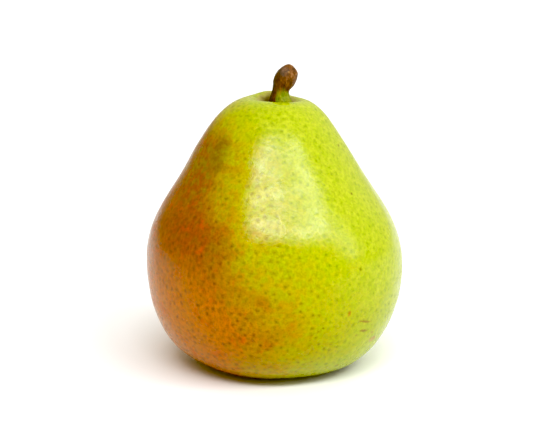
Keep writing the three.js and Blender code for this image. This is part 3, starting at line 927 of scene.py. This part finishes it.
def dried_calyx(node, given):
    """The cup with its rings of sepals, stamens and styles, turned over into the basin."""
    grid, turn, drawn = outline_grid(node, given, *CUP_GRID)
    cup = wound_up(node, grid, node("VectorRotate", Vector=drawn, Angle=turn, rotation_type="Z_AXIS"))
    inside = node("Math SUBTRACT", given.cup_radius, given.cup_wall)
    half = node("Math MULTIPLY", given.cup_height, 0.5)
    blade = sepal_blade(node, given)
    first = given.sepal_turn
    sepals = ring_of(node, blade, given.sepals, inside, half, first, lean=0.15, least=0.9, seed=3)
    radii = {
        "Radius Top": node("Math MULTIPLY", given.thread_radius, THREAD_TAPER),
        "Radius Bottom": given.thread_radius,
    }
    thread = node("MeshCone", Depth=given.thread_length, **radii, **THREAD_GRID).outputs["Mesh"]
    foot = node("Math SUBTRACT", half, THREAD_SINK)
    outer = node("Math SUBTRACT", inside, STAMEN_INSET)
    stamens = ring_of(node, thread, given.stamens, outer, foot, lean=0.5, least=0.75, seed=4)
    styles = ring_of(node, thread, given.styles, STYLE_RING, foot, lean=0.12, least=0.8, seed=5)
    joined = node("JoinGeometry")
    for part in (cup, sepals, stamens, styles):
        joined.id_data.links.new(part.outputs[0], joined.inputs[0])
    plain = node("RealizeInstances", joined)

    # Withered unevenly, and turned over
    warp = jitter(node, node("InputPosition"), WITHER, Scale=1 / WITHER_WIDTH, Detail=2)
    plain = node("SetPosition", Geometry=plain, Offset=warp)
    flip = (math.pi, 0, 0)
    return node("Transform", Geometry=plain, Translation=given.middle, Rotation=flip)


# ---- Stage ----


def direction(azimuth, elevation):
    """The way to a place in the studio: azimuth 0 is the camera's side, and +X is at 90 degrees."""
    level = math.cos(elevation)
    return Vector((math.sin(azimuth) * level, -math.cos(azimuth) * level, math.sin(elevation)))


def aimed(item, place, target):
    """Puts a camera or lamp at a place, looking at a target."""
    item.location = place
    item.rotation_euler = (target - place).to_track_quat("-Z", "Y").to_euler()
    bpy.context.collection.objects.link(item)


def bright_room(studio):
    """A room that is bright above, to the right and behind, and dim on the left and behind the camera."""
    world = bpy.data.worlds.new("Bright room")
    world.use_nodes = True
    world.node_tree.nodes.clear()
    node = partial(add, world.node_tree)
    way = node("TexCoord").outputs["Generated"]
    facing = node("VectorMath DOT_PRODUCT", way, Vector(studio.bright_way).normalized())
    sky = node("MapRange", facing, *SKY_EDGE, **SMOOTH)
    light = node("Mix VECTOR", sky, studio.dim_sky, studio.bright_sky)
    node("OutputWorld", node("Background", light, 1))
    return world


def panel_lamp(studio, name, azimuth, elevation, wide, high, roll, strength):
    """A softbox seen from the pear in this direction, as wide and high as these angles, in degrees."""
    data = bpy.data.lights.new(name, "AREA")
    data.shape = "RECTANGLE"
    data.size = 2 * studio.lamp_distance * math.tan(math.radians(wide) / 2)
    data.size_y = 2 * studio.lamp_distance * math.tan(math.radians(high) / 2)
    data.energy = strength * studio.lamp_radiance * data.size * data.size_y * math.pi
    lamp = bpy.data.objects.new(name, data)
    target = Vector((0, 0, studio.middle_height))
    away = direction(math.radians(azimuth), math.radians(elevation))
    aimed(lamp, target + away * studio.lamp_distance, target)
    lamp.rotation_euler.rotate_axis("Z", math.radians(roll))


# ---- Operators ----


class PEAR_OT_fruit(Operator):
    """Grows the fruit from its outline"""

    bl_idname = "pear.fruit"
    bl_label = "Grow the fruit"

    def execute(self, context):
        pear = context.scene.pear
        shared = ("rim_radius", "rim_inner_reach", "crest_radius", "belly_height", "fruit_height")
        sizes = {**sizes_of(pear.outline, *shared), **sizes_of(pear.growth)}
        outline, wax = fruit_outline(pear.outline), waxed_skin(pear.skin)
        grow("pear_skin", "fruit", outline, grown_fruit, sizes, wax)
        return {"FINISHED"}


class PEAR_OT_stem(Operator):
    """Turns and bends the woody stem"""

    bl_idname = "pear.stem"
    bl_label = "Grow the stem"

    def execute(self, context):
        form = context.scene.pear.stem
        grow("stem_bark", "stem", stem_outline(form), bent_stem, sizes_of(form), dry_bark())
        return {"FINISHED"}


class PEAR_OT_calyx(Operator):
    """Makes the dried calyx in the basin"""

    bl_idname = "pear.calyx"
    bl_label = "Grow the calyx"

    def execute(self, context):
        form = context.scene.pear.calyx
        outline, sepal = cup_outline(form), dried_sepal()
        grow("dried_calyx", "calyx", outline, dried_calyx, sizes_of(form), sepal)
        return {"FINISHED"}


class PEAR_OT_stage(Operator):
    """Sets up the floor, the light and the camera"""

    bl_idname = "pear.stage"
    bl_label = "Set up the studio"

    def execute(self, context):
        studio = context.scene.pear.studio
        scene = context.scene
        half = studio.floor_size / 2
        sheet = bpy.data.meshes.new("studio_floor")
        corners = [(-half, -half, 0), (half, -half, 0), (half, half, 0), (-half, half, 0)]
        sheet.from_pydata(corners, [], [(0, 1, 2, 3)])
        sheet.materials.append(paper_floor(studio.floor_tint))
        floor = bpy.data.objects.new("studio_floor", sheet)
        context.collection.objects.link(floor)

        scene.world = bright_room(studio)
        for lamp in SOFTBOXES:
            panel_lamp(studio, *lamp)

        data = bpy.data.cameras.new("Camera")
        data.sensor_width = SENSOR_WIDTH
        data.lens = studio.focal_pixels * SENSOR_WIDTH / IMAGE_WIDTH
        data.clip_end = studio.floor_size
        camera = bpy.data.objects.new("Camera", data)
        middle = Vector((0, 0, studio.middle_height))
        aimed(camera, middle + direction(0, studio.elevation) * studio.distance, Vector(studio.aim))
        scene.camera = camera
        scene.view_settings.view_transform = "Standard"
        scene.view_settings.use_curve_mapping = True
        scene.view_settings.curve_mapping.black_level = studio.black_level
        return {"FINISHED"}


class PEAR_PT_sidebar(Panel):
    """The pear's pieces, in the order they are made"""

    bl_label = "Pear"
    bl_space_type = "VIEW_3D"
    bl_region_type = "UI"
    bl_category = "Pear"

    def draw(self, context):
        for operator in OPERATORS:
            self.layout.operator(operator.bl_idname)
        for group in (getattr(context.scene.pear, key) for key in PearSettings.__annotations__):
            box = self.layout.box()
            for key in type(group).__annotations__:
                box.prop(group, key)


GROUPS = (FruitOutline, FruitGrowth, SkinFinish, StemForm, CalyxForm, Studio, PearSettings)
OPERATORS = (PEAR_OT_fruit, PEAR_OT_stem, PEAR_OT_calyx, PEAR_OT_stage)
CLASSES = (*GROUPS, *OPERATORS, PEAR_PT_sidebar)


def register():
    for cls in CLASSES:
        bpy.utils.register_class(cls)
    bpy.types.Scene.pear = PointerProperty(type=PearSettings)


def unregister():
    del bpy.types.Scene.pear
    for cls in reversed(CLASSES):
        bpy.utils.unregister_class(cls)


def main():
    register()
    for operator in OPERATORS:
        category, name = operator.bl_idname.split(".")
        getattr(getattr(bpy.ops, category), name)()


if __name__ == "__main__":
    main()
